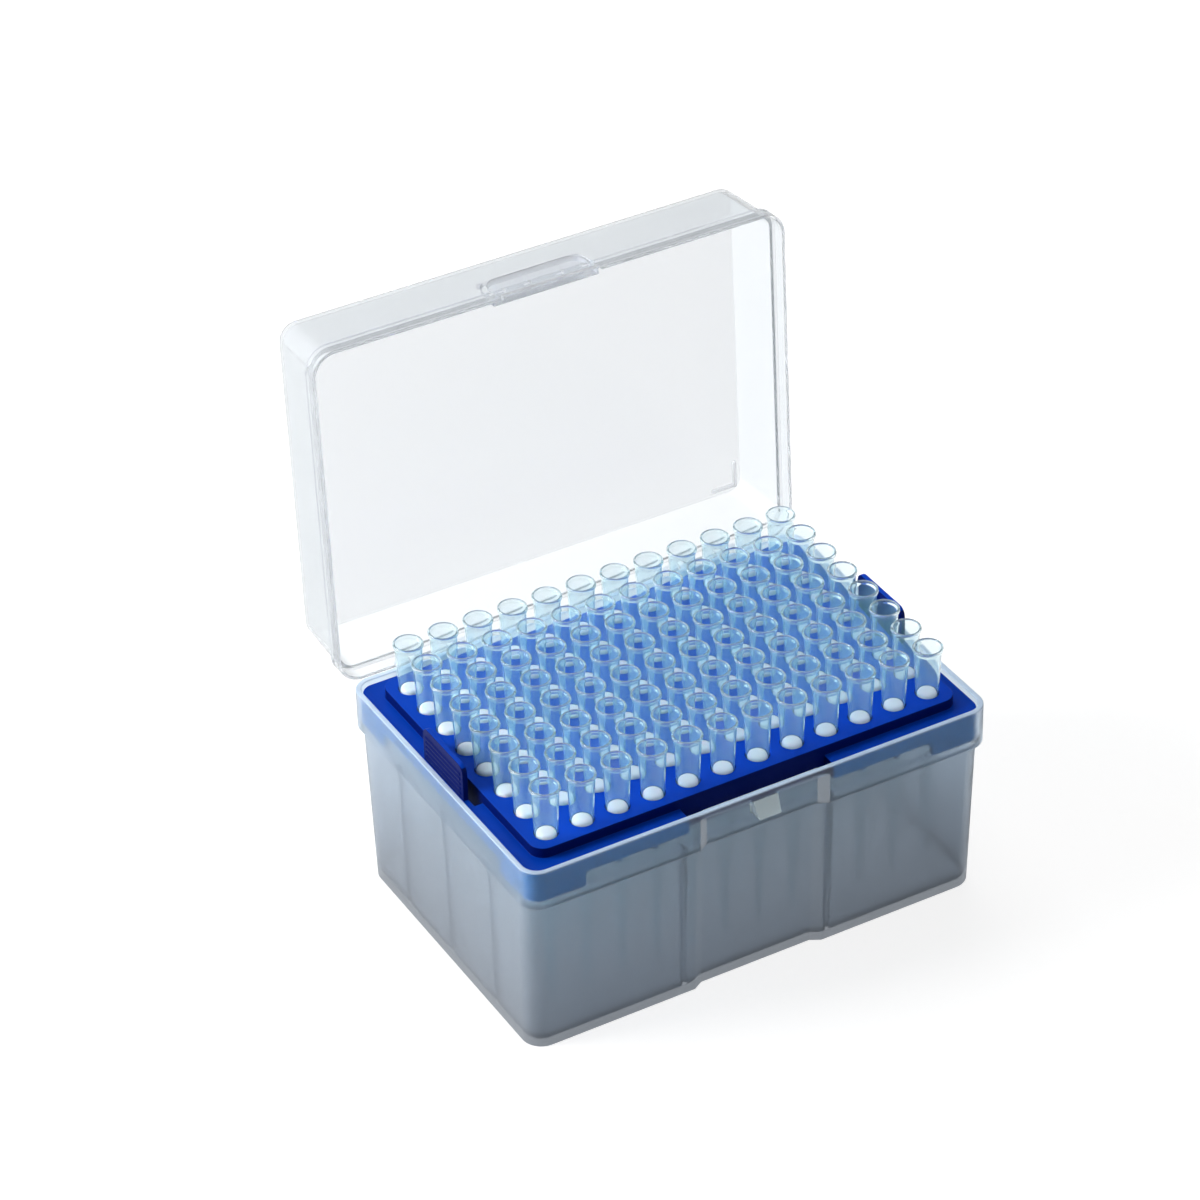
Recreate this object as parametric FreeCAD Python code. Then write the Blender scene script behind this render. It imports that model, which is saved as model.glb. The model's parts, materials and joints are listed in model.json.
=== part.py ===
# Hinged box that holds filtered pipette tips upright in a lift-out rack, with its lid open.
# Millimetres. X runs along the box, +Y points to the hinge, +Z goes up from the underside.
import FreeCAD, Part
import math
import os

V = FreeCAD.Vector

# Tip format: a grid of tips, and the flats round each tip, filter and socket
columns = 12
rows = 8
pitch = 9.0
flats = 6

# Tip
tip_length = 58.8
mouth_radius = 3.3
point_radius = 0.5
mouth_wall = 0.35
point_wall = 0.25

# Filter in the tip's bore
filter_depth = 12.0
filter_length = 5.0
filter_clearance = 0.03

# Box walls
wall = 1.3
floor = 1.5
corner_radius = 5.0
point_clearance = 5.5
collar_height = 10.2
collar_step_x = 0.65
collar_step_y = 1.8
wall_draft_x = 0.55
wall_draft_y = 1.45

# Recessed panel in the front of the box, under a straight rim lip
recess_half = 14.4
recess_splay = 2.4
recess_depth = 1.4
lip_height = 1.7
lip_shelf = 0.6

# Wedge catch below the lip
catch_top_half = 3.3
catch_foot_half = 2.9
catch_drop = 4.1
catch_reach = 2.2

# Ribs inside the box walls
wall_rib = 1.0
wall_rib_depth = 1.2
long_rib_x = 19.0
short_rib_y = 21.0

# Rack
tip_stand = 12.6
plate = 1.5
plate_above_rim = 1.5
plate_margin = 5.25
plate_radius = 3.5
socket_clearance = 0.05
flange_room_x = 4.0
flange_room_y = 4.25
flange_below_rim = 1.1
flange = 1.2
rack_clearance = 0.35
rack_wall = 1.2
skirt_height = 4.0
rib = 1.0
rib_below_skirt = 1.5
leg_x = 13.4
leg_y = 13.6
gap_clearance = 0.65

# Lifting tabs at the rack's ends
tab_half = 9.3
tab_rise = 6.5
tab = 1.25
tab_setback = 0.4
tab_radius = 2.2
tab_slot_half = 12.0
grip_count = 5
grip_pitch = 1.3
grip_height = 0.7
grip_proud = 0.25
grip_margin = 1.2

# Lid
lid_clearance = 0.15
band = 0.8
band_drop = 3.3
band_step = 1.0
ledge = 0.8
lid_wall = 1.2
lid_draft = 0.6
head_room = 2.35
lid_edge_radius = 1.5
edge_steps = 3
lid_corner_radius = 4.5

# Pushed-in area and raised band edge at the middle of the lid's front
dish_half = 15.0
dish_height = 11.0
dish_depth = 1.5
dish_radius = 4.0
band_lift = 1.4
gusset = 2.2
gusset_height = 1.2
gusset_reach = 1.6
gusset_inner_x = 5.0
gusset_outer_x = 13.0

# Hinge
open_angle = 92.6
hinge_x = 36.0
knuckle_room = 0.3
hinge_above_band = 0.15
pin_radius = 0.9
pin_clearance = 0.06
knuckle_radius = 1.9
hook_half = 3.9
hook_leg = 1.2
hook_mouth = 100.0
ear = 1.6
side_clearance = 0.2
notch_clearance = 0.7
shelf = 1.6
shelf_clearance = 0.5
pad = 3.0
pad_back = 2.5
pad_front = 0.2
stop_gap = 0.05

# Levels
point_z = floor + point_clearance
mouth_z = point_z + tip_length
plate_z = mouth_z - tip_stand
rim_z = plate_z - plate_above_rim
collar_z = rim_z - collar_height
rack_seat_z = collar_z + wall
lip_z = rim_z - lip_height
flange_z = rim_z - flange_below_rim
skirt_z = flange_z - skirt_height
rib_z = skirt_z - rib_below_skirt
tab_z = plate_z + tab_rise
ledge_z = rim_z + lid_clearance
band_z = ledge_z - band_drop
lid_z = mouth_z + head_room + lid_wall
filter_top_z = mouth_z - filter_depth
filter_foot_z = filter_top_z - filter_length

# Half sizes of the outlines
grid_x = (columns - 1) * pitch / 2
grid_y = (rows - 1) * pitch / 2
plate_half = (grid_x + plate_margin, grid_y + plate_margin)
mouth_half = (plate_half[0] + flange_room_x, plate_half[1] + flange_room_y)
collar_half = (mouth_half[0] + wall, mouth_half[1] + wall)
shoulder_half = (collar_half[0] - collar_step_x, collar_half[1] - collar_step_y)
foot_half = (shoulder_half[0] - wall_draft_x, shoulder_half[1] - wall_draft_y)
flange_half = (mouth_half[0] - rack_clearance, mouth_half[1] - rack_clearance)

# Hinge axis, along X
hinge_y = collar_half[1] + knuckle_room + knuckle_radius
hinge_z = band_z + hinge_above_band
ear_half = hook_half + side_clearance + ear
notch_half = ear_half + notch_clearance


def inside(half, amount):
    """Half sizes of an outline drawn this far inside another."""
    return half[0] - amount, half[1] - amount


def outline(half, radius, z, recess=None):
    """Rounded rectangle, with a splayed recess in its front side if one is given."""
    edges = []
    corners = [(1, 1), (-1, 1), (-1, -1), (1, -1)]
    for quarter, (side_x, side_y) in enumerate(corners):
        centre = V(side_x * (half[0] - radius), side_y * (half[1] - radius), z)
        start = 90 * quarter
        edges.append(Part.makeCircle(radius, centre, V(0, 0, 1), start, start + 90))
    front = []
    if recess:
        flat, depth = recess
        front = [
            V(-flat - recess_splay, -half[1], z),
            V(-flat, depth - half[1], z),
            V(flat, depth - half[1], z),
            V(flat + recess_splay, -half[1], z),
        ]
    loop = []
    for quarter, arc in enumerate(edges):
        following = edges[(quarter + 1) % 4]
        between = front if quarter == 2 else []
        stops = [arc.valueAt(arc.LastParameter), *between, following.valueAt(following.FirstParameter)]
        loop.append(arc)
        for start, end in zip(stops, stops[1:]):
            loop.append(Part.makeLine(start, end))
    return Part.Wire(loop)


def prism(half, radius, z_low, z_high, recess=None):
    """Upright block on a rounded outline."""
    return Part.Face(outline(half, radius, z_low, recess)).extrude(V(0, 0, z_high - z_low))


def side_face(low, high):
    """Straight-sided face between an edge and the one above it."""
    if not isinstance(low.Curve, Part.Line):
        return Part.makeRuledSurface(low, high)
    corners = [low.firstVertex(True), low.lastVertex(True), high.lastVertex(True), high.firstVertex(True)]
    points = [corner.Point for corner in corners]
    return Part.Face(Part.makePolygon(points + points[:1]))


def loft(*sections):
    """Solid with straight sides from each outline to the next one up."""
    faces = [Part.Face(sections[0]), Part.Face(sections[-1])]
    for low, high in zip(sections, sections[1:]):
        faces += [side_face(*pair) for pair in zip(low.OrderedEdges, high.OrderedEdges)]
    return Part.Solid(Part.Shell(faces))


def box(x_low, x_high, y_low, y_high, z_low, z_high):
    """Block between these limits."""
    size = V(x_high - x_low, y_high - y_low, z_high - z_low)
    return Part.makeBox(size.x, size.y, size.z, V(x_low, y_low, z_low))


def rounded_top(block, radius, axis):
    """The block with its top edges along this axis rounded."""
    edges = []
    for edge in block.Edges:
        along = abs(edge.tangentAt(edge.FirstParameter).dot(axis)) > 0.9
        if along and edge.BoundBox.ZMin > block.BoundBox.ZMax - 0.01:
            edges.append(edge)
    return block.makeFillet(radius, edges)


def bar(points, x_low, x_high):
    """Prism along X on a closed outline of (y, z) points."""
    corners = [V(x_low, y, z) for y, z in points]
    face = Part.Face(Part.makePolygon(corners + corners[:1]))
    return face.extrude(V(x_high - x_low, 0, 0))


def round_bar(radius, x_low, x_high):
    """Cylinder on the hinge axis."""
    return Part.makeCylinder(radius, x_high - x_low, V(x_low, hinge_y, hinge_z), V(1, 0, 0))


def polygon(radius, z):
    """Regular outline round Z with the area of a circle of this radius."""
    turn = 2 * math.pi / flats
    corner = radius * math.sqrt(2 * math.pi / (flats * math.sin(turn)))
    points = []
    for number in range(flats + 1):
        angle = (number + 0.5) * turn
        points.append(V(corner * math.cos(angle), corner * math.sin(angle), z))
    return Part.makePolygon(points)


def frustum(radius_low, radius_high, z_low, z_high):
    """Tapered piece round Z."""
    return loft(polygon(radius_low, z_low), polygon(radius_high, z_high))


def tip_radius(z):
    """Outer radius of a tip at this height."""
    return point_radius + (mouth_radius - point_radius) * (z - point_z) / tip_length


def bore_radius(z):
    """Radius of a tip's bore at this height."""
    share = (z - point_z) / tip_length
    return tip_radius(z) - point_wall + (point_wall - mouth_wall) * share


def tip():
    """Tapered tube, open at its mouth and its point."""
    body = frustum(point_radius, mouth_radius, point_z, mouth_z)
    return body.cut(frustum(bore_radius(point_z), bore_radius(mouth_z), point_z, mouth_z))


def filter_plug():
    """Porous plug that fills the bore at the level of the rack's plate."""
    foot = bore_radius(filter_foot_z) - filter_clearance
    top = bore_radius(filter_top_z) - filter_clearance
    return frustum(foot, top, filter_foot_z, filter_top_z)


def column(piece, number):
    """One column of tips or filters, as separate solids."""
    x = number * pitch - grid_x
    return Part.makeCompound([piece.translated(V(x, row * pitch - grid_y, 0)) for row in range(rows)])


def base():
    """Tub with a stepped collar, a recessed front panel, a catch and the fixed hinge parts."""
    inner_flat = recess_half + wall * math.tan(math.atan2(recess_depth, recess_splay) / 2)
    panel = (recess_half, recess_depth)
    inner_panel = (inner_flat, recess_depth)
    inner_radius = corner_radius - wall
    shelf_z = lip_z + lip_shelf

    body = loft(
        outline(foot_half, corner_radius, 0, panel),
        outline(shoulder_half, corner_radius, collar_z, panel),
    )
    body = body.fuse([
        prism(collar_half, corner_radius, collar_z, lip_z, panel),
        prism(collar_half, corner_radius, lip_z, rim_z),
        catch(),
    ])
    hollow = loft(
        outline(inside(foot_half, wall), inner_radius, floor, inner_panel),
        outline(inside(shoulder_half, wall), inner_radius, rack_seat_z, inner_panel),
    )
    hollow = hollow.fuse([
        prism(mouth_half, inner_radius, rack_seat_z, shelf_z, inner_panel),
        prism(mouth_half, inner_radius, shelf_z, rim_z + 1),
    ])
    body = body.cut(hollow.cut(Part.makeCompound(wall_ribs())))
    stations = []
    for x in (-hinge_x, hinge_x):
        stations += hinge_station(x)
    return body.fuse(stations).removeSplitter()


def wall_ribs():
    """Upright ribs on the inner faces of the box walls, up to the rack's seat."""
    ribs = []
    reach_x, reach_y = inside(foot_half, wall + wall_rib_depth)
    for side in (-1, 1):
        for x in (-long_rib_x, long_rib_x):
            ends = sorted((side * reach_y, side * collar_half[1]))
            ribs.append(box(x - wall_rib / 2, x + wall_rib / 2, *ends, 0, collar_z))
        for y in (-short_rib_y, 0, short_rib_y):
            ends = sorted((side * reach_x, side * collar_half[0]))
            ribs.append(box(*ends, y - wall_rib / 2, y + wall_rib / 2, 0, collar_z))
    return ribs


def catch():
    """Wedge below the lip, sloping out and down from it."""
    root = -collar_half[1] + recess_depth + wall / 2
    sections = []
    for half, y, z in (
        (catch_foot_half, -collar_half[1] - catch_reach, lip_z - catch_drop),
        (catch_top_half, -collar_half[1], lip_z),
    ):
        corners = [V(-half, root, z), V(half, root, z), V(half, y, z), V(-half, y, z)]
        sections.append(Part.makePolygon(corners + corners[:1]))
    return loft(*sections)


def hinge_station(x):
    """Shelf with two ears, the pin between them and two pads that stop the open lid."""
    shelf_top = hinge_z - knuckle_radius - shelf_clearance
    root_y = collar_half[1] - wall / 2
    back_y = hinge_y + pad_back
    pad_near = notch_half + side_clearance * 2
    pad_far = pad_near + pad
    parts = [
        box(x - pad_far, x + pad_far, root_y, back_y, shelf_top - shelf, shelf_top),
        round_bar(pin_radius, x - ear_half, x + ear_half),
    ]
    tilt = math.radians(open_angle - 90)
    band_back = hinge_y - (collar_half[1] + lid_clearance + band)
    pad_outline = [(hinge_y + pad_front, shelf_top), (back_y, shelf_top)]
    for reach in (pad_back, pad_front):
        rise = (band_back - stop_gap - reach * math.sin(tilt)) / math.cos(tilt)
        pad_outline.append((hinge_y + reach, hinge_z + rise))
    for side in (-1, 1):
        near, far = sorted((x + side * (ear_half - ear), x + side * ear_half))
        parts.append(round_bar(knuckle_radius, near, far))
        parts.append(box(near, far, root_y, hinge_y + knuckle_radius, shelf_top, hinge_z))
        near, far = sorted((x + side * pad_near, x + side * pad_far))
        parts.append(bar(pad_outline, near, far))
    return parts


def rack():
    """Plate with a socket for each tip, on ribs, with a flange, corner legs and lifting tabs."""
    flange_radius = corner_radius - wall - rack_clearance
    gap_half = recess_half + recess_splay + wall + gap_clearance
    rim = prism(flange_half, flange_radius, skirt_z, flange_z)
    for side in (-1, 1):
        ends = sorted((side * plate_half[1], side * collar_half[1]))
        rim = rim.cut(box(-gap_half, gap_half, *ends, 0, lid_z))
    under = prism(inside(flange_half, rack_wall), flange_radius - rack_wall, skirt_z, flange_z - flange)
    reach = gap_half + rack_wall
    under = under.cut(box(-reach, reach, plate_half[1] - rack_wall, collar_half[1], 0, lid_z))
    under = under.cut(box(-reach, reach, -collar_half[1], rack_wall - plate_half[1], 0, lid_z))
    body = rim.cut(under).fuse(prism(plate_half, plate_radius, rib_z, plate_z))
    body = body.cut(prism(inside(plate_half, rack_wall), plate_radius - rack_wall, rib_z, plate_z - plate))
    body = body.fuse(rack_ribs(gap_half) + corner_legs(flange_radius))
    for side in (-1, 1):
        near, far = sorted((side * plate_half[0], side * (flange_half[0] - tab_setback - tab)))
        body = body.cut(box(near, far, -tab_slot_half, tab_slot_half, skirt_z, flange_z))
        body = body.fuse(lifting_tab(side))
    socket_radius = tip_radius(plate_z) + socket_clearance
    socket = frustum(socket_radius, socket_radius, plate_z - plate, plate_z)
    sockets = [column(socket, number) for number in range(columns)]
    return body.cut(Part.makeCompound(sockets)).removeSplitter()


def rack_ribs(gap_half):
    """Ribs midway between the columns, which run on under the flange beside the gaps."""
    ribs = []
    for number in range(1, columns):
        x = number * pitch - grid_x - pitch / 2
        reach = plate_half[1] - rack_wall / 2
        ribs.append(box(x - rib / 2, x + rib / 2, -reach, reach, rib_z, plate_z - plate / 2))
        if abs(x) > gap_half:
            reach = flange_half[1] - rack_wall / 2
            ribs.append(box(x - rib / 2, x + rib / 2, -reach, reach, rib_z, flange_z - flange / 2))
    return ribs


def corner_legs(flange_radius):
    """Skirt carried down at the four corners to the seat in the box."""
    ring = prism(flange_half, flange_radius, rack_seat_z, skirt_z)
    ring = ring.cut(prism(inside(flange_half, rack_wall), flange_radius - rack_wall, rack_seat_z, skirt_z))
    legs = []
    for side_x in (-1, 1):
        for side_y in (-1, 1):
            along = sorted((side_x * (flange_half[0] - leg_x), side_x * collar_half[0]))
            across = sorted((side_y * (flange_half[1] - leg_y), side_y * collar_half[1]))
            legs.append(ring.common(box(*along, *across, 0, lid_z)))
    return legs


def lifting_tab(side):
    """Upright tab with rounded top corners and grip ridges on its outer face."""
    face_x = flange_half[0] - tab_setback
    blade = box(face_x - tab, face_x, -tab_half, tab_half, skirt_z, tab_z)
    blade = rounded_top(blade, tab_radius, V(1, 0, 0))
    grip_half = tab_half - grip_margin
    parts = [blade]
    for number in range(grip_count):
        z = tab_z - tab_radius - number * grip_pitch
        parts.append(box(face_x - tab / 2, face_x + grip_proud, -grip_half, grip_half, z - grip_height, z))
    whole = parts[0].fuse(parts[1:])
    return whole if side > 0 else whole.mirror(V(0, 0, 0), V(1, 0, 0))


def lid():
    """Tray with a stepped band, a dished front and hinge hooks, turned open on its hinge."""
    band_half = (collar_half[0] + lid_clearance + band, collar_half[1] + lid_clearance + band)
    band_radius = corner_radius + lid_clearance + band
    side_half = inside(band_half, band_step)
    crown_half = inside(side_half, lid_draft)
    shell = loft(outline(side_half, lid_corner_radius, ledge_z), *rounded_edge(crown_half))
    inner_radius = lid_corner_radius - lid_wall
    inner_z = lid_z - lid_wall
    hollow = loft(
        outline(inside(side_half, lid_wall), inner_radius, ledge_z),
        outline(inside(crown_half, lid_wall), inner_radius, inner_z),
    )
    shell = set_back(shell, dish_window(dish_half, dish_height))
    hollow = set_back(hollow, dish_window(dish_half + lid_wall, dish_height + lid_wall))
    rim = prism(band_half, band_radius, band_z, ledge_z + ledge)
    rim = rim.cut(prism(inside(band_half, band), band_radius - band, band_z, ledge_z))
    body = shell.fuse([rim] + dish_gussets(side_half)).cut(hollow)
    body = body.cut(box(-dish_half, dish_half, -lid_z, 0, band_z, band_z + band_lift))
    for x in (-hinge_x, hinge_x):
        body = body.cut(box(x - notch_half, x + notch_half, 0, hinge_y, band_z, ledge_z))
        body = body.fuse(hinge_hook(x))
    body = body.removeSplitter()
    body.rotate(V(0, hinge_y, hinge_z), V(1, 0, 0), -open_angle)
    return body


def rounded_edge(half):
    """Outlines that round the lid's sides over into its top."""
    sections = []
    for step in range(edge_steps + 1):
        angle = math.pi / 2 * step / edge_steps
        inset = lid_edge_radius * (1 - math.cos(angle))
        z = lid_z - lid_edge_radius * (1 - math.sin(angle))
        sections.append(outline(inside(half, inset), lid_corner_radius - inset, z))
    return sections


def set_back(body, window):
    """The body with its front side moved inwards behind the window."""
    return body.cut(window.cut(body.translated(V(0, dish_depth, 0))))


def dish_window(half, height):
    """Upright D-shaped block across the lid's front wall."""
    top = band_z + height
    front = -2 * collar_half[1]
    block = box(-half, half, front, -plate_half[1], ledge_z, top)
    return rounded_top(block, dish_radius, V(0, 1, 0))


def dish_gussets(side_half):
    """Short ribs between the dished wall and the band."""
    back = dish_depth - side_half[1] + lid_wall / 2
    front = dish_depth - side_half[1] - gusset_reach
    ribs = []
    for x in (-gusset_outer_x, -gusset_inner_x, gusset_inner_x, gusset_outer_x):
        top = ledge_z + ledge + gusset_height
        ribs.append(box(x - gusset / 2, x + gusset / 2, front, back, ledge_z, top))
    return ribs


def hinge_hook(x):
    """Open ring that snaps over the pin, on a leg down from the lid's ledge."""
    x_low, x_high = x - hook_half, x + hook_half
    ring = round_bar(knuckle_radius, x_low, x_high)
    leg_back = hinge_y - knuckle_radius - side_clearance / 2 + hook_leg
    leg = box(x_low, x_high, leg_back - hook_leg, leg_back, hinge_z, ledge_z + ledge)
    wedge = [(hinge_y, hinge_z)]
    for angle in (-45 + hook_mouth / 2, -45, -45 - hook_mouth / 2):
        reach = 2 * knuckle_radius
        y = hinge_y + reach * math.cos(math.radians(angle))
        z = hinge_z + reach * math.sin(math.radians(angle))
        wedge.append((y, z))
    hook = ring.fuse(leg).cut(round_bar(pin_radius + pin_clearance, x_low, x_high))
    return hook.cut(bar(wedge, x_low, x_high))


def save(name, shape):
    """Write one piece, after a check that it is sound."""
    assert shape.isValid(), name
    shape.exportStep("parts/" + name + ".step")


os.makedirs("parts", exist_ok=True)
save("base", base())
save("rack", rack())
save("lid", lid())
for number in range(columns):
    save("tips_column_%02d" % (number + 1), column(tip(), number))
    save("filters_column_%02d" % (number + 1), column(filter_plug(), number))
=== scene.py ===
"""Looks of an open box of filtered pipette tips: frosted tub, blue rack, clear hinged lid, clear tips."""
import bmesh
import bpy
import json
import math
from mathutils import Matrix, Vector


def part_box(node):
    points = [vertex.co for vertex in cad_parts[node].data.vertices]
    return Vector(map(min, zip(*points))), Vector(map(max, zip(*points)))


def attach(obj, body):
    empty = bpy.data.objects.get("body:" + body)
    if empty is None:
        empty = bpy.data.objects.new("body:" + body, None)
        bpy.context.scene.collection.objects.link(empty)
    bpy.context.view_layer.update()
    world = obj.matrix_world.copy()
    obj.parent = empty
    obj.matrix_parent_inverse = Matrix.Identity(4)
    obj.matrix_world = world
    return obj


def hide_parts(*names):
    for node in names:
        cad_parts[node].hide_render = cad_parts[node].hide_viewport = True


MM = 0.001


def block(*corners):
    """Lowest and highest corner of an upright block, from six numbers in millimetres."""
    return Vector(corners[:3]) * MM, Vector(corners[3:]) * MM


# Grid of tips, and the sides of each turned piece
COLUMNS = 12
ROWS = 8
PITCH = 9.0 * MM
SIDES = 32

# Tips and filters: the lengths in millimetres that their sections are drawn at, how far a tip stands above
# the rack's plate, and how much of its mouth is rim
TIP_LENGTH = 58.8
FILTER_LENGTH = 5.0
TIP_STAND = 12.6 * MM
RIM = 0.5 * MM

# Rack: thickness of its plate, radius of a round socket, how far the CAD's socket walls lie from their
# centre at most, and the skirt below the flange, which takes a painted glow
PLATE = 1.5 * MM
SOCKET = 2.78 * MM
SOCKET_REACH = 3.2 * MM
SKIRT = block(-60, -42, 40, 60, 42, 50.55)
SKIRT_DEPTH = 3.5 * MM

# Tub: its rim, the right side of the recessed front panel, and the catch, where highlights are painted
TUB_RIM = block(-70, -50, 51.3, 70, 50, 52)
PANEL_SIDE = block(14.1, -43, -1, 17.3, -37, 50.3)
CATCH = block(-3.7, -45.0, 45.5, 3.7, -40.6, 50.4)

# Heights between which the tub's wall gets paler as its painted shade fades upwards, its foot gets a darker
# painted shade, and its collar begins
WALL_SHADE_HEIGHTS = (4 * MM, 46 * MM)
FOOT_SHADE_HEIGHTS = (4.5 * MM, 2.5 * MM)
COLLAR_HEIGHTS = (40.5 * MM, 42.5 * MM)

# Lid, as if it were shut: the grip with the band below it, the grip alone, its share of the CAD's width, the
# corners in millimetres of the two bars of an L-shaped mark inside the top, and the part of them that shows
GRIP_AND_BAND = block(-16.5, -44.0, 44.0, 16.5, -38.6, 60.5)
GRIP = block(-16.5, -42.0, 49.5, 16.5, -38.6, 60.5)
GRIP_SHARE = 0.84
MARKS = [((56.2, 32.4, 67.6), (57.1, 39.4, 68.5)), ((50.2, 38.5, 67.6), (56.3, 39.4, 68.5))]
MARKED = block(50.0, 32.0, 67.5, 57.3, 39.6, 68.1)

# Radii of the moulded edges of the tub and of the thinner pieces
TUB_EDGE = 0.25 * MM
THIN_EDGE = 0.2 * MM

# Degrees: faces that meet at less are one flat face, and edges above are sharp, in moulded pieces and in
# turned ones
FLAT = 0.5
CREASE = 35
TURNED_CREASE = 50

# Points nearer than this are one, and a shorter edge than this has no length
JOIN = 0.002 * MM
NO_LENGTH = 0.0001 * MM

# What lamps lose in a clear wall
LAMPS_PASS = (0.95, 0.97, 0.98, 1)

# Camera: place, turns about Z, X and its own view in degrees, and lens in millimetres
CAMERA_PLACE = (-0.4269, -0.7392, 0.6724)
CAMERA_TURN = -29.008
CAMERA_TILT = 55.169
CAMERA_ROLL = -1.593
LENS = 139.26

# Lamps: place, side in metres and power in watts, all aimed at one point, and the side of the floor
LAMPS = {
    "key": ((-0.85, 0.35, 0.45), 0.5, 10.5),
    "top": ((0.1, 0.5, 0.9), 0.7, 2.8),
    "fill": ((0.25, -0.9, 0.6), 0.6, 2.3),
}
LAMP_AIM = Vector((0, 0, 0.05))
FLOOR = 6


# ---- Materials ----

class Nodes:
    """Builds the node tree of one material or world."""

    def __init__(self, owner):
        owner.use_nodes = True
        self.tree = owner.node_tree
        self.tree.nodes.clear()

    def set(self, socket, value):
        """Gives a socket a number, a colour or a link from another socket."""
        if isinstance(value, bpy.types.NodeSocket):
            self.tree.links.new(value, socket)
        else:
            socket.default_value = value

    def add(self, kind, sockets=None, **settings):
        """A node with its properties set, and its sockets by name."""
        node = self.tree.nodes.new(kind)
        for name, value in settings.items():
            setattr(node, name, value)
        for name, value in (sockets or {}).items():
            self.set(node.inputs[name], value)
        return node

    def place(self):
        """Place in the object, in metres."""
        return self.add("ShaderNodeTexCoord").outputs["Object"]

    def noise(self, scale, detail=3.0):
        """Factor of a noise over the object, in lumps per metre."""
        node = self.add("ShaderNodeTexNoise", {"Vector": self.place(), "Scale": scale, "Detail": detail})
        return node.outputs["Fac"]

    def ramp(self, value, low, high, to_low=0.0, to_high=1.0):
        """The value between two bounds, spread over another two."""
        node = self.add("ShaderNodeMapRange", {
            "Value": value, "From Min": low, "From Max": high, "To Min": to_low, "To Max": to_high})
        return node.outputs["Result"]

    def spread(self, factor, low, high):
        """The middle part of a noise spread over low to high."""
        return self.ramp(factor, 0.3, 0.7, low, high)

    def upwards(self, low, high, to_low=0.0, to_high=1.0):
        """Factor that changes from one height to another."""
        height = self.add("ShaderNodeSeparateXYZ", {"Vector": self.place()}).outputs["Z"]
        return self.ramp(height, low, high, to_low, to_high)

    def facing_up(self):
        """Factor of 1 on level faces and 0 on upright ones."""
        normal = self.add("ShaderNodeNewGeometry").outputs["Normal"]
        height = self.add("ShaderNodeSeparateXYZ", {"Vector": normal}).outputs["Z"]
        return self.number("GREATER_THAN", self.number("MULTIPLY", height, height), 0.5)

    def number(self, operation, first, second):
        """Two numbers put together."""
        node = self.add("ShaderNodeMath", operation=operation)
        self.set(node.inputs[0], first)
        self.set(node.inputs[1], second)
        return node.outputs[0]

    def between(self, factor, first, second):
        """A colour between two others."""
        node = self.add("ShaderNodeMix", {"Factor": factor}, data_type="RGBA")
        self.set(node.inputs[6], first)
        self.set(node.inputs[7], second)
        return node.outputs[2]

    def bump(self, factor, depth):
        """Normals of relief this deep, in metres."""
        node = self.add("ShaderNodeBump", {"Height": factor, "Strength": 1.0, "Distance": depth})
        return node.outputs["Normal"]

    def principled(self, **sockets):
        """The general shader, its sockets named with underscores."""
        return self.add("ShaderNodeBsdfPrincipled", {
            name.replace("_", " "): value for name, value in sockets.items()})

    def mix(self, factor, first, second):
        """One shader mixed into another."""
        node = self.add("ShaderNodeMixShader")
        self.set(node.inputs[0], factor)
        self.set(node.inputs[1], first.outputs[0])
        self.set(node.inputs[2], second.outputs[0])
        return node

    def lit_through(self, shader, tint):
        """The shader, but lamps shine on through the wall."""
        clear = self.add("ShaderNodeBsdfTransparent", {"Color": tint})
        return self.mix(self.add("ShaderNodeLightPath").outputs["Is Shadow Ray"], shader, clear)

    def seen(self, strength, other=0.0):
        """One strength for what the camera, reflections and clear walls see, another for light on things."""
        path = self.add("ShaderNodeLightPath").outputs
        direct = path["Is Camera Ray"]
        for ray in ("Is Glossy Ray", "Is Transmission Ray"):
            direct = self.number("MAXIMUM", direct, path[ray])
        straight = self.number("LESS_THAN", path["Diffuse Depth"], 0.5)
        return self.ramp(self.number("MULTIPLY", direct, straight), 0.0, 1.0, other, strength)

    def surface(self, shader, kind="ShaderNodeOutputMaterial"):
        """The shader as the tree's surface."""
        self.add(kind, {"Surface": shader.outputs[0]})


def new_material(name):
    """A material and what builds its nodes."""
    material = bpy.data.materials.new(name)
    return material, Nodes(material)


def frosted_plastic(name, haze, collar_haze, milk=(0.82, 0.87, 0.93, 1)):
    """Milky tub wall that blurs what stands behind it, with painted shade darker towards the floor and
    darkest on its upright foot; haze is its share of milk, another in the collar.
    """
    material, nodes = new_material(name)
    grain = nodes.noise(900.0)
    # Painted shade: the wall's colour darkens towards the floor
    wall = nodes.between(nodes.upwards(*WALL_SHADE_HEIGHTS), (0.37, 0.42, 0.48, 1), (0.70, 0.80, 0.90, 1))
    # Painted shade: the upright faces darken further at the foot
    upright = nodes.number("SUBTRACT", 1.0, nodes.facing_up())
    foot = nodes.number("MULTIPLY", upright, nodes.upwards(*FOOT_SHADE_HEIGHTS))
    clear = nodes.principled(
        Base_Color=nodes.between(foot, wall, (0.14, 0.16, 0.19, 1)),
        Roughness=nodes.spread(grain, 0.40, 0.44),
        IOR=1.15,
        Transmission_Weight=1.0,
    )
    pale = nodes.principled(
        Base_Color=milk,
        Roughness=nodes.spread(grain, 0.45, 0.55),
        Normal=nodes.bump(grain, 0.004 * MM),
    )
    share = nodes.upwards(*COLLAR_HEIGHTS, haze, collar_haze)
    nodes.surface(nodes.lit_through(nodes.mix(share, clear, pale), (0.45, 0.48, 0.52, 1)))
    return material


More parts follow.
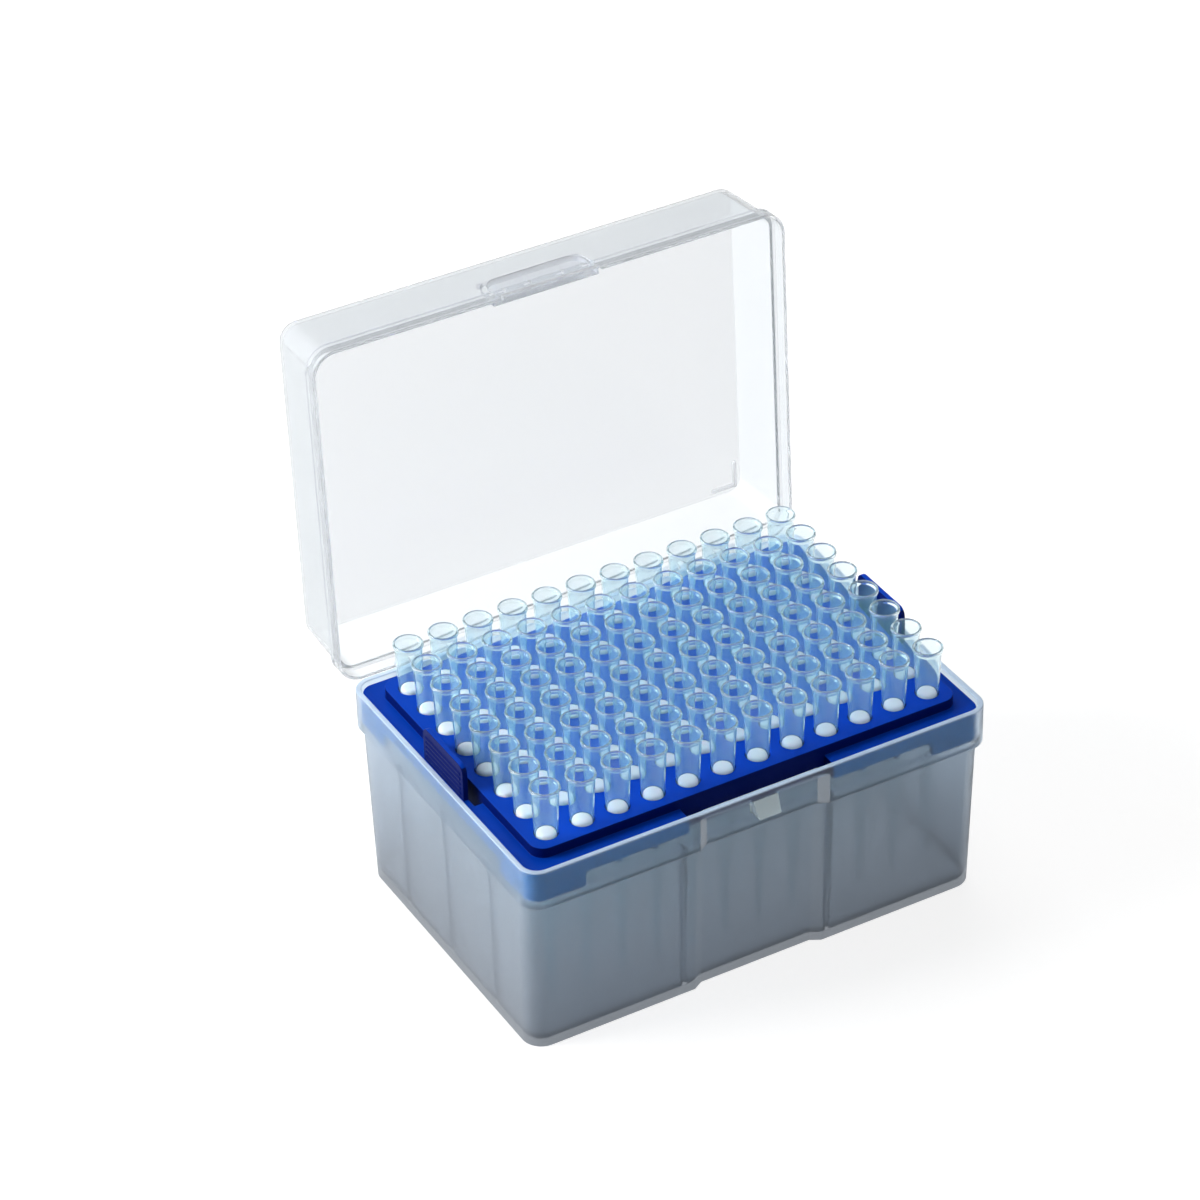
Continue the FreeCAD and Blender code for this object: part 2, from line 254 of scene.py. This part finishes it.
def glassy_plastic(name, colour, roughness, ior, haze, milk, shadow, slanting_shade=None):
    """Clear moulded wall that refracts and lets lamps through; haze is its share of milk.

    A wall seen at a slant is thicker to look through, and may have a deeper colour for that; where it is
    deeper than that thickness gives, as on the lid, it is painted shade.
    """
    material, nodes = new_material(name)
    ripple = nodes.noise(70.0, 2.0)
    relief = nodes.bump(ripple, 0.01 * MM)
    if slanting_shade:
        slant = nodes.add("ShaderNodeLayerWeight", {"Blend": 0.5}).outputs["Facing"]
        colour = nodes.between(nodes.ramp(slant, 0.42, 0.62), colour, slanting_shade)
    clear = nodes.principled(
        Base_Color=colour,
        Roughness=nodes.spread(ripple, roughness, roughness + 0.03),
        IOR=ior,
        Transmission_Weight=1.0,
        Normal=relief,
    )
    pale = nodes.principled(Base_Color=milk, Roughness=nodes.spread(ripple, 0.35, 0.45), Normal=relief)
    nodes.surface(nodes.lit_through(nodes.mix(haze, clear, pale), shadow))
    return material


def rack_plastic(name, low, high, side):
    """Satin moulding between two close colours, with its upright faces in another, a painted shade where that
    is darker.
    """
    material, nodes = new_material(name)
    grain = nodes.noise(1800.0)
    level = nodes.between(nodes.spread(nodes.noise(60.0), 0, 1), low, high)
    nodes.surface(nodes.principled(
        # Upright faces take the side colour: painted shade where it is darker
        Base_Color=nodes.between(nodes.facing_up(), side, level),
        Roughness=nodes.spread(grain, 0.38, 0.5),
        Specular_IOR_Level=0.05,
        Normal=nodes.bump(grain, 0.006 * MM),
    ))
    return material


def filter_plastic():
    """Sintered white beads."""
    material, nodes = new_material("porous_white")
    beads = nodes.add("ShaderNodeTexVoronoi", {"Vector": nodes.place(), "Scale": 4000.0}).outputs["Distance"]
    nodes.surface(nodes.principled(
        Base_Color=nodes.between(beads, (0.82, 0.81, 0.84, 1), (0.72, 0.72, 0.76, 1)),
        Roughness=nodes.spread(beads, 0.75, 0.9),
        Subsurface_Weight=0.3,
        Subsurface_Scale=0.5 * MM,
        Normal=nodes.bump(beads, 0.04 * MM),
    ))
    return material


def studio_white():
    """Floor that goes on into the white background and keeps its shadows."""
    material, nodes = new_material("studio_floor")
    matt = nodes.add("ShaderNodeBsdfDiffuse", {"Color": (0.42, 0.42, 0.42, 1)})
    lift = nodes.add("ShaderNodeEmission", {"Strength": nodes.seen(0.80)})
    both = nodes.add("ShaderNodeAddShader")
    nodes.set(both.inputs[0], matt.outputs[0])
    nodes.set(both.inputs[1], lift.outputs[0])
    nodes.surface(both)
    return material


# ---- Mesh tools ----

def in_scene(name, data):
    """A new object in the scene."""
    obj = bpy.data.objects.new(name, data)
    bpy.context.scene.collection.objects.link(obj)
    return obj


def piece(name, mesh, materials):
    """The mesh as a piece with these materials."""
    mesh.materials.clear()
    for material in materials:
        mesh.materials.append(material)
    return in_scene(name, mesh)


def whole_faces(build):
    """Joins the triangles of each flat face."""
    bmesh.ops.dissolve_limit(build, angle_limit=math.radians(FLAT), verts=build.verts, edges=build.edges)


def solid_copy(node, name, materials):
    """The CAD body as one closed mesh of whole flat faces."""
    mesh = frame["nodes"][node].data.copy()
    build = bmesh.new()
    build.from_mesh(mesh)
    bmesh.ops.remove_doubles(build, verts=build.verts, dist=JOIN)
    bmesh.ops.recalc_face_normals(build, faces=build.faces)
    whole_faces(build)
    build.to_mesh(mesh)
    build.free()
    mesh.normals_split_custom_set([(0, 0, 0)] * len(mesh.loops))
    return piece(name, mesh, materials)


def turned(profile, centres, name, materials):
    """A closed ring of (radius, z) points turned round an upright axis at every centre."""
    build = bmesh.new()
    for x, y in centres:
        rings = []
        for radius, z in profile:
            ring = []
            for side in range(SIDES):
                angle = 2 * math.pi * side / SIDES
                ring.append(build.verts.new((x + radius * math.cos(angle), y + radius * math.sin(angle), z)))
            rings.append(ring)
        for low, high in zip(rings, rings[1:] + rings[:1]):
            for side in range(SIDES):
                after = (side + 1) % SIDES
                build.faces.new((low[side], low[after], high[after], high[side]))
    bmesh.ops.recalc_face_normals(build, faces=build.faces)
    mesh = bpy.data.meshes.new(name)
    build.to_mesh(mesh)
    build.free()
    return piece(name, mesh, materials)


def settle(obj):
    """Applies the piece's modifiers."""
    graph = bpy.context.evaluated_depsgraph_get()
    mesh = bpy.data.meshes.new_from_object(obj.evaluated_get(graph))
    obj.modifiers.clear()
    obj.data = mesh


def combine(obj, other, operation):
    """Joins another solid to the piece, or cuts it away."""
    joint = obj.modifiers.new("joint", "BOOLEAN")
    joint.operation = operation
    joint.solver = "EXACT"
    joint.object = other
    settle(obj)
    bpy.data.objects.remove(other)


def soften(obj, radius, look):
    """Rounds the edges as a mould does, and gives the rounding one of the piece's materials."""
    bevel = obj.modifiers.new("edges", "BEVEL")
    bevel.material = obj.data.materials.find(look)
    bevel.width = radius
    bevel.segments = 2
    bevel.limit_method = "ANGLE"
    bevel.angle_limit = math.radians(CREASE)
    bevel.use_clamp_overlap = False
    bevel.miter_outer = "MITER_ARC"
    settle(obj)


def clean(obj):
    """Takes out the edges of no length that cutting and rounding leave."""
    build = bmesh.new()
    build.from_mesh(obj.data)
    bmesh.ops.dissolve_degenerate(build, dist=NO_LENGTH, edges=build.edges)
    build.to_mesh(obj.data)
    build.free()


def within(point, corners):
    """Whether a point lies in an upright block."""
    low, high = corners
    return all(low[axis] < point[axis] < high[axis] for axis in range(3))


def mirrored(corners):
    """The same block on the other side of the middle."""
    low, high = corners
    return Vector((-high.x, low.y, low.z)), Vector((-low.x, high.y, high.z))


def along_sides(corners, depth):
    """Four blocks along the upright sides of another, this deep."""
    low, high = corners
    blocks = []
    for axis in (0, 1):
        near = high.copy()
        near[axis] = low[axis] + depth
        far = low.copy()
        far[axis] = high[axis] - depth
        blocks += [(low, near), (far, high)]
    return blocks


def paint(obj, look, corners, place=Matrix()):
    """Gives one of its materials to the faces that lie wholly in a block, once the piece is put in place."""
    index = obj.data.materials.find(look)
    inside = [within(place @ vertex.co, corners) for vertex in obj.data.vertices]
    for face in obj.data.polygons:
        if all(inside[number] for number in face.vertices):
            face.material_index = index


def hand_in(obj, node, body, crease=CREASE):
    """Shades the piece smoothly over its soft edges, and puts it in the CAD node's place."""
    with bpy.context.temp_override(object=obj, active_object=obj, selected_editable_objects=[obj]):
        bpy.ops.object.shade_smooth_by_angle(angle=math.radians(crease))
    flats = obj.modifiers.new("flats", "WEIGHTED_NORMAL")
    flats.keep_sharp = True
    settle(obj)
    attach(obj, body)
    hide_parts(node)


# ---- Pieces ----

def places(count):
    """Places of the tips along one side of the grid."""
    return [(number - (count - 1) / 2) * PITCH for number in range(count)]


def fine_base():
    """Tub with painted highlights on its pale edges, its bluish rim and its clearer catch, and painted shade
    low on its wall.
    """
    # The catch is clear plastic, and its bright milky share is a painted highlight
    catch = glassy_plastic(
        "clear_catch_painted_highlight", colour=(1, 1, 1, 1), roughness=0.05, ior=1.45, haze=0.58, milk=(0.84, 0.98, 1.0, 1),
        shadow=LAMPS_PASS)
    obj = solid_copy("base", "fine_base", [
        frosted_plastic("frosted_plastic", haze=0.16, collar_haze=0.07),
        catch,
        # The rim's pale blue milk is a painted highlight, tinted with the rack's blue
        frosted_plastic("frosted_rim_painted_highlight", haze=0.7, collar_haze=0.7, milk=(0.66, 0.80, 0.98, 1)),
        # Painted highlight: the rounded edges and the panel's sides are paler, paler still in the collar
        frosted_plastic("frosted_edges_painted_highlight", haze=0.25, collar_haze=0.6),
    ])
    soften(obj, TUB_EDGE, "frosted_edges_painted_highlight")
    paint(obj, "clear_catch_painted_highlight", CATCH)
    paint(obj, "frosted_rim_painted_highlight", TUB_RIM)
    paint(obj, "frosted_edges_painted_highlight", PANEL_SIDE)
    paint(obj, "frosted_edges_painted_highlight", mirrored(PANEL_SIDE))
    hand_in(obj, "base", "box")


def lid_at_rest():
    """How the hinge places the lid, from shut to its rest."""
    hinge = frame["joints"][0]
    pin = Matrix.Translation(hinge["pos_m"])
    return pin @ Matrix.Rotation(math.radians(-hinge["range_deg"][1]), 4, "X") @ pin.inverted()


def bar(low, high, place):
    """Straight bar between two corners in millimetres, put in place."""
    bpy.ops.mesh.primitive_cube_add(size=1)
    obj = bpy.context.object
    size = Vector([after - before for before, after in zip(low, high)]) * MM
    middle = Vector([before + after for before, after in zip(low, high)]) * MM / 2
    obj.data.transform(place @ Matrix.Translation(middle) @ Matrix.Diagonal((*size, 1)))
    return obj


def fine_lid():
    """Lid with painted highlights on its edges, a hazy grip greyed with painted shade, and fine raised marks
    inside its top.
    """
    clear = {
        "colour": (0.90, 0.915, 0.93, 1),
        # Walls seen at a slant darken to this: partly the longer path through the wall, partly painted shade
        "slanting_shade": (0.71, 0.735, 0.745, 1),
        "roughness": 0.15,
        "ior": 1.18,
        "shadow": LAMPS_PASS,
    }
    milk = (0.80, 0.83, 0.86, 1)
    obj = solid_copy("lid", "fine_lid", [
        glassy_plastic("clear_lid", haze=0.13, milk=milk, **clear),
        # The grip's darker grey haze is painted shade on the pushed-in dish
        glassy_plastic("clear_lid_grip", haze=0.35, milk=(0.60, 0.63, 0.70, 1), **clear),
        # Painted highlight: the lid's rounded edges have more haze and show as pale lines
        glassy_plastic("clear_lid_edges_painted_highlight", haze=0.25, milk=milk, **clear),
    ])
    opened = lid_at_rest()
    shut = opened.inverted()
    for vertex in obj.data.vertices:
        if within(shut @ vertex.co, GRIP_AND_BAND):
            vertex.co.x *= GRIP_SHARE
    for low, high in MARKS:
        combine(obj, bar(low, high, opened), "UNION")
    soften(obj, THIN_EDGE, "clear_lid_edges_painted_highlight")
    paint(obj, "clear_lid_grip", GRIP, shut)
    # The raised marks take the grip's darker haze too
    paint(obj, "clear_lid_grip", MARKED, shut)
    hand_in(obj, "lid", "lid")


def fill_sockets(build, plate_top):
    """Takes out the walls of the six-sided sockets and closes the plate over them."""
    walls = []
    for face in build.faces:
        middle = face.calc_center_median()
        off_x = (middle.x / PITCH + COLUMNS / 2) % 1 - 0.5
        off_y = (middle.y / PITCH + ROWS / 2) % 1 - 0.5
        near = math.hypot(off_x, off_y) * PITCH < SOCKET_REACH
        if near and abs(face.normal.z) < 0.01 and plate_top - PLATE < middle.z < plate_top:
            walls.append(face)
    bmesh.ops.delete(build, geom=walls, context="FACES")
    rims = [edge for edge in build.edges if edge.is_boundary]
    bmesh.ops.edgeloop_fill(build, edges=rims)
    bmesh.ops.recalc_face_normals(build, faces=build.faces)
    whole_faces(build)


def split_between_tips(build):
    """Cuts the faces midway between the tips, so that no face holds more than one socket."""
    for axis, count in ((Vector((1, 0, 0)), COLUMNS), (Vector((0, 1, 0)), ROWS)):
        for line in range(1, count):
            everything = build.verts[:] + build.edges[:] + build.faces[:]
            middle = (line - count / 2) * PITCH * axis
            bmesh.ops.bisect_plane(build, geom=everything, dist=JOIN, plane_co=middle, plane_no=axis)


def fine_rack():
    """Rack with round sockets, upright faces in a darker painted shade, and a painted glow on its skirt."""
    obj = solid_copy("rack", "fine_rack", [
        # The upright faces' dark navy is painted shade
        rack_plastic("blue_plastic", (0.0, 0.044, 0.42, 1), (0.0, 0.055, 0.50, 1), (0.0, 0.007, 0.11, 1)),
        # Painted glow: the skirt's brighter, greener blue stands in for light coming through it
        rack_plastic("blue_plastic_painted_glow", (0.0, 0.21, 0.52, 1), (0.0, 0.25, 0.58, 1), (0.0, 0.23, 0.55, 1)),
    ])
    plate_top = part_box("tips_column_01")[1].z - TIP_STAND
    build = bmesh.new()
    build.from_mesh(obj.data)
    fill_sockets(build, plate_top)
    split_between_tips(build)
    build.to_mesh(obj.data)
    build.free()
    over = plate_top + PLATE
    under = plate_top - 2 * PLATE
    section = [(0.0, over), (SOCKET, over), (SOCKET, under), (0.0, under)]
    centres = [(x, y) for x in places(COLUMNS) for y in places(ROWS)]
    combine(obj, turned(section, centres, "drill", []), "DIFFERENCE")
    soften(obj, THIN_EDGE, "blue_plastic")
    clean(obj)
    for corners in along_sides(SKIRT, SKIRT_DEPTH):
        paint(obj, "blue_plastic_painted_glow", corners)
    hand_in(obj, "rack", "box")


def section_between(points, length, foot, top):
    """Section points in millimetres of radius and height, drawn at one length and put between two heights."""
    scale = (top - foot) / length
    return [(radius * MM, foot + height * scale) for radius, height in points]


def tip_section(foot, top):
    """Wall of one tip: rolled rim, barrel, shoulder below the plate, body and point."""
    outside = [
        (0.50, 0.0), (1.10, 14.0), (2.40, 40.5), (2.52, 43.2), (2.66, 43.8), (2.68, 46.2),
        (3.20, 57.3), (3.26, 57.7), (3.48, 57.9), (3.55, 58.2), (3.50, 58.65), (3.38, 58.8),
    ]
    inside = [
        (3.10, 58.8), (2.98, 58.6), (2.94, 58.0), (2.42, 46.3), (2.36, 41.3), (2.10, 40.3),
        (0.85, 14.0), (0.26, 0.0),
    ]
    return section_between(outside + inside, TIP_LENGTH, foot, top)


def filter_section(foot, top):
    """Filter with a soft crown, as a ring closed near the axis."""
    points = [
        (0.02, 0.0), (2.05, 0.0), (2.30, 0.25), (2.36, 3.6), (2.27, 4.2), (2.10, 4.65), (1.80, 4.9),
        (1.30, 5.0), (0.02, 5.0),
    ]
    return section_between(points, FILTER_LENGTH, foot, top)


def tips_and_filters():
    """One fine piece for each column of tips and of filters."""
    clear = {
        "colour": (0.93, 0.97, 0.98, 1),
        "roughness": 0.06,
        "ior": 1.32,
        "shadow": (0.86, 0.88, 0.90, 1),
    }
    looks = [
        # The tips' small milky share is real haze, and its cyan colour a painted glow of the rack's blue
        # light
        glassy_plastic("clear_tip", haze=0.08, milk=(0.46, 0.90, 1.0, 1), **clear),
        # The rims' higher, bluish haze is partly real and partly a painted highlight on the rolled rim
        glassy_plastic("clear_tip_rim", haze=0.2, milk=(0.75, 0.85, 0.92, 1), **clear),
    ]
    white = filter_plastic()
    for number in range(1, COLUMNS + 1):
        node = "tips_column_%02d" % number
        low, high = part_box(node)
        centres = [((low.x + high.x) / 2, y) for y in places(ROWS)]
        tips = turned(tip_section(low.z, high.z), centres, "fine_tips_%02d" % number, looks)
        for face in tips.data.polygons:
            face.material_index = face.center.z > high.z - RIM
        hand_in(tips, node, "box", TURNED_CREASE)
        node = "filters_column_%02d" % number
        low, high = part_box(node)
        filters = turned(filter_section(low.z, high.z), centres, "fine_filters_%02d" % number, [white])
        hand_in(filters, node, "box", TURNED_CREASE)


# ---- Camera, light and floor ----

def camera():
    """View from the front left, above."""
    data = bpy.data.cameras.new("camera")
    data.sensor_width = 36
    data.lens = LENS
    obj = in_scene("camera", data)
    turn = Matrix.Rotation(math.radians(CAMERA_TURN), 4, "Z")
    tilt = Matrix.Rotation(math.radians(CAMERA_TILT), 4, "X")
    roll = Matrix.Rotation(math.radians(CAMERA_ROLL), 4, "Z")
    obj.matrix_world = Matrix.Translation(CAMERA_PLACE) @ turn @ tilt @ roll
    bpy.context.scene.camera = obj


def lamp(name, place, size, power):
    """Soft square lamp turned to the object."""
    data = bpy.data.lights.new(name, "AREA")
    data.size = size
    data.energy = power
    obj = in_scene(name, data)
    obj.location = place
    obj.rotation_euler = (LAMP_AIM - Vector(place)).to_track_quat("-Z", "Y").to_euler()


def studio():
    """White floor, white surroundings and soft lamps."""
    bpy.ops.mesh.primitive_plane_add(size=FLOOR)
    floor = bpy.context.object
    floor.name = "floor"
    floor.data.materials.append(studio_white())
    world = bpy.data.worlds.new("studio")
    bpy.context.scene.world = world
    nodes = Nodes(world)
    light = nodes.add("ShaderNodeBackground", {"Strength": nodes.seen(1.0, 0.14)})
    nodes.surface(light, "ShaderNodeOutputWorld")
    for name, (place, size, power) in LAMPS.items():
        lamp(name, place, size, power)


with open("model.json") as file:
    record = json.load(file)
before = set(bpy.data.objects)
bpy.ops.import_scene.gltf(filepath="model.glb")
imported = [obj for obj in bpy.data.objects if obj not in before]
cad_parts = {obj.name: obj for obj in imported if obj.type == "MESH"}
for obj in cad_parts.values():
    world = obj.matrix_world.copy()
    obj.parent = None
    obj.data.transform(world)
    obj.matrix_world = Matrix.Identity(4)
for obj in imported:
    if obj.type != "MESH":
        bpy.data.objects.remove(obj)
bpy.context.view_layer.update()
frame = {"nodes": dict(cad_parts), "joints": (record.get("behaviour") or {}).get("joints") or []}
scene = bpy.context.scene
scene.view_settings.view_transform = "Standard"
scene.cycles.max_bounces = 16
scene.cycles.transmission_bounces = 14
scene.cycles.transparent_max_bounces = 24

camera()
studio()
fine_base()
fine_lid()
fine_rack()
tips_and_filters()
